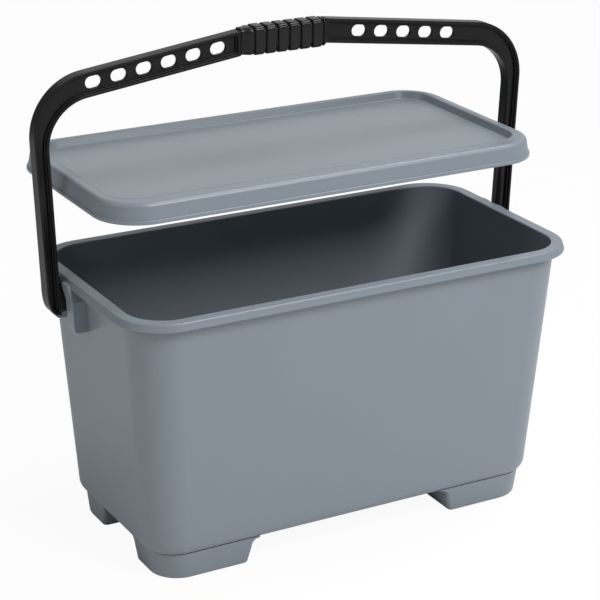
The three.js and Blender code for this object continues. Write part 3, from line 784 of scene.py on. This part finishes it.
# Grip
def grip_section(depth, height, x):
    """One section of the grip. Its corners get smaller where it is much thinner than the ribs."""
    corner = min(GRIP_CORNER, GRIP_CORNER - (GRIP_DEPTH - depth) / 2 + RIB_DEPTH)
    outline = rounded_outline(depth / 2, height / 2, corner, BIG_ROUND_STEPS)
    return [(x, y, GRIP_LEVEL + z) for y, z in outline]


def inset_section(inset, x):
    return grip_section(GRIP_DEPTH - 2 * inset, GRIP_HEIGHT - 2 * inset, x)


def collar_rings(small_end, large_end):
    """A flare from the bar's size up to the ribs' size, ending in a small round and a groove."""
    way = 1 if large_end > small_end else -1
    shoulder = large_end - way * COLLAR_ROUND
    rings = []
    for step in range(BIG_ROUND_STEPS + 1):
        share = step / BIG_ROUND_STEPS
        swell = share * share * (3 - 2 * share)
        depth = COLLAR_DEPTH + (GRIP_DEPTH - 2 * COLLAR_EDGE - COLLAR_DEPTH) * swell
        height = COLLAR_HEIGHT + (GRIP_HEIGHT - 2 * COLLAR_EDGE - COLLAR_HEIGHT) * swell
        rings.append(grip_section(depth, height, small_end + (shoulder - small_end) * share))
    for from_end, drawn in quarter_round(COLLAR_ROUND)[1:]:
        rings.append(inset_section(COLLAR_EDGE + drawn, large_end - way * from_end))
    rings.append(inset_section(RIB_DEPTH, large_end))
    return rings


def grip_rings():
    """Sections of the grip along X: a collar, the ribs with grooves between them, and a collar."""
    groove = RIB_PITCH - RIB_LENGTH
    first = GRIP_CENTRE - GRIP_HALF
    last = GRIP_CENTRE + GRIP_HALF
    edge = quarter_round(RIB_ROUND)
    rings = collar_rings(GRIP_LEFT + FIT, first - groove)
    for i in range(GRIP_RIBS):
        start = first + i * RIB_PITCH
        end = start + RIB_LENGTH
        rings.append(inset_section(RIB_DEPTH, start))
        rings += [inset_section(inset, start + along) for inset, along in edge]
        rings += [inset_section(inset, end - along) for inset, along in reversed(edge)]
        rings.append(inset_section(RIB_DEPTH, end))
    rings += reversed(collar_rings(GRIP_RIGHT - FIT, last + groove))
    return rings


def grip_half(name, side):
    """The half of the grip in front of the handle's plane, or behind it."""
    grip = loft(name, grip_rings())
    near, far = sorted((FIT / 2 * side, GRIP_DEPTH * side))
    low = (GRIP_LEFT, near, GRIP_LEVEL - GRIP_HEIGHT)
    high = (GRIP_RIGHT, far, GRIP_LEVEL + GRIP_HEIGHT)
    keep_common(grip, block(name + "_keep", low, high))
    move(grip, 0.0, PIVOT_BACK, PIVOT_HEIGHT)
    smooth(grip)
    return grip


# Materials
def plastic(name, colour, roughness, specular, grain, grain_height, mottle_share):
    """Moulded plastic: a fine grain, slow changes of gloss and a little mottling of the colour."""
    material = bpy.data.materials.new(name)
    material.use_nodes = True
    nodes, links = material.node_tree.nodes, material.node_tree.links
    shader = nodes["Principled BSDF"]
    place = nodes.new("ShaderNodeTexCoord").outputs["Object"]

    def noise(scale, detail):
        texture = nodes.new("ShaderNodeTexNoise")
        texture.inputs["Scale"].default_value = scale
        texture.inputs["Detail"].default_value = detail
        links.new(place, texture.inputs["Vector"])
        return texture.outputs["Fac"]

    def ranged(source, middle, spread):
        limits = nodes.new("ShaderNodeMapRange")
        limits.inputs["To Min"].default_value = middle - spread
        limits.inputs["To Max"].default_value = middle + spread
        links.new(source, limits.inputs["Value"])
        return limits.outputs["Result"]

    tint = nodes.new("ShaderNodeHueSaturation")
    tint.inputs["Color"].default_value = (*colour, 1.0)
    links.new(ranged(noise(MOTTLE_SCALE, MOTTLE_DETAIL), 1.0, mottle_share), tint.inputs["Value"])
    links.new(tint.outputs["Color"], shader.inputs["Base Color"])
    gloss = ranged(noise(GLOSS_SCALE, GLOSS_DETAIL), roughness, GLOSS_SPREAD)
    links.new(gloss, shader.inputs["Roughness"])
    bump = nodes.new("ShaderNodeBump")
    bump.inputs["Distance"].default_value = grain_height
    bump.inputs["Strength"].default_value = 1.0
    links.new(noise(grain, GRAIN_DETAIL), bump.inputs["Height"])
    links.new(bump.outputs["Normal"], shader.inputs["Normal"])
    shader.inputs["IOR"].default_value = PLASTIC_IOR
    shader.inputs["Specular IOR Level"].default_value = specular
    return material


# Floor, light and camera
def mix_shaders(tree, factor, first, second, output):
    """Shows the first shader where the factor is 0 and the second where it is 1."""
    mix = tree.nodes.new("ShaderNodeMixShader")
    tree.links.new(factor, mix.inputs["Fac"])
    tree.links.new(first.outputs[0], mix.inputs[1])
    tree.links.new(second.outputs[0], mix.inputs[2])
    tree.links.new(mix.outputs[0], output.inputs["Surface"])


def make_floor():
    """A pale floor that takes shadows and looks almost white to the camera."""
    bm = bmesh.new()
    bmesh.ops.create_grid(bm, x_segments=1, y_segments=1, size=STAGE_REACH)
    floor = new_object("floor", bm, unit=1.0)
    material = bpy.data.materials.new("pale_floor")
    material.use_nodes = True
    tree = material.node_tree
    lit = tree.nodes["Principled BSDF"]
    lit.inputs["Base Color"].default_value = STAGE_COLOUR
    lit.inputs["Roughness"].default_value = STAGE_ROUGHNESS
    white = tree.nodes.new("ShaderNodeEmission")
    rays = tree.nodes.new("ShaderNodeLightPath")
    share = tree.nodes.new("ShaderNodeMath")
    share.operation = "MULTIPLY"
    share.inputs[1].default_value = STAGE_WHITE_SHARE
    tree.links.new(rays.outputs["Is Camera Ray"], share.inputs[0])
    mix_shaders(tree, share.outputs[0], lit, white, tree.nodes["Material Output"])
    floor.data.materials.append(material)


def make_world():
    """A soft light from all round, which the camera sees brighter than it is."""
    world = bpy.data.worlds.new("studio")
    bpy.context.scene.world = world
    world.use_nodes = True
    tree = world.node_tree
    soft = tree.nodes["Background"]
    soft.inputs["Color"].default_value = WORLD_COLOUR
    soft.inputs["Strength"].default_value = WORLD_STRENGTH
    white = tree.nodes.new("ShaderNodeBackground")
    white.inputs["Strength"].default_value = 1.0
    rays = tree.nodes.new("ShaderNodeLightPath")
    mix_shaders(tree, rays.outputs["Is Camera Ray"], soft, white, tree.nodes["World Output"])


def area_light(name, place, target, size, watts):
    data = bpy.data.lights.new(name, "AREA")
    data.shape = "RECTANGLE"
    data.size, data.size_y = size
    data.energy = watts
    lamp = add_object(name, data)
    lamp.location = place
    lamp.rotation_mode = "QUATERNION"
    lamp.rotation_quaternion = (target - place).to_track_quat("-Z", "Y")


def make_lights():
    for name, (azimuth, elevation, distance, width, height, watts) in LIGHTS.items():
        around, up = math.radians(azimuth), math.radians(elevation)
        way = Vector((math.cos(around) * math.cos(up), math.sin(around) * math.cos(up), math.sin(up)))
        area_light(name, LIGHT_TARGET + way * distance, LIGHT_TARGET, (width, height), watts)


def make_camera(tub_middle):
    """The camera at the photograph's place, aimed at the middle plane of the tub."""
    data = bpy.data.cameras.new("camera")
    data.sensor_width = SENSOR_WIDTH
    data.lens = SENSOR_WIDTH * FOCAL_PIXELS / PICTURE_PIXELS
    data.clip_end = CAMERA_SIGHT
    across = math.cos(CAMERA_PITCH)
    back = Vector(
        (math.sin(CAMERA_YAW) * across, -math.cos(CAMERA_YAW) * across, math.sin(CAMERA_PITCH))
    )
    camera = add_object("camera", data)
    camera.rotation_mode = "QUATERNION"
    roll = Matrix.Rotation(CAMERA_ROLL, 3, "Z").to_quaternion()
    camera.rotation_quaternion = (-back).to_track_quat("-Z", "Y") @ roll
    camera.location = Vector((CAMERA_TARGET_X, tub_middle, CAMERA_TARGET_HEIGHT)) + back * CAMERA_DISTANCE
    bpy.context.scene.camera = camera


# The whole bucket, with the tub and the raised lid together round the origin
FRONT_REACH = RIM_WIDTH / 2 + RIM_FLARE
BACK_REACH = max(LID_SHIFT + LID_WIDTH / 2, FRONT_REACH)
TUB_MIDDLE = (FRONT_REACH - BACK_REACH) / 2
materials = {name: plastic(name, *values) for name, values in PLASTICS.items()}


def dress(obj, slot_name, body, node):
    """Moves a piece to its place in the whole, and gives it its material and its body."""
    move(obj, 0.0, TUB_MIDDLE, 0.0)
    obj.data.materials.clear()
    obj.data.materials.append(materials[slot_name])
    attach(obj, body)
    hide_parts(node)


dress(make_tub(), "grey_plastic", "tub", "tub")
dress(make_lid(), "grey_plastic", "lid", "lid")
left_bar = handle_half("bar_left", -GRIP_LEFT, LEFT_HOLES, -1)
dress(left_bar, "black_plastic", "handle", "handle_left")
right_bar = handle_half("bar_right", GRIP_RIGHT, RIGHT_HOLES, 1)
dress(right_bar, "black_plastic", "handle", "handle_right")
dress(grip_half("ribs_front", -1), "black_grip", "handle", "grip_front")
dress(grip_half("ribs_rear", 1), "black_grip", "handle", "grip_rear")
for name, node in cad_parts.items():
    if "pin" in name or "washer" in name:
        node.data.materials.clear()
        node.data.materials.append(materials["pale_nylon"])

make_floor()
make_world()
make_lights()
make_camera(TUB_MIDDLE * MM)
bpy.context.scene.view_settings.view_transform = "Standard"
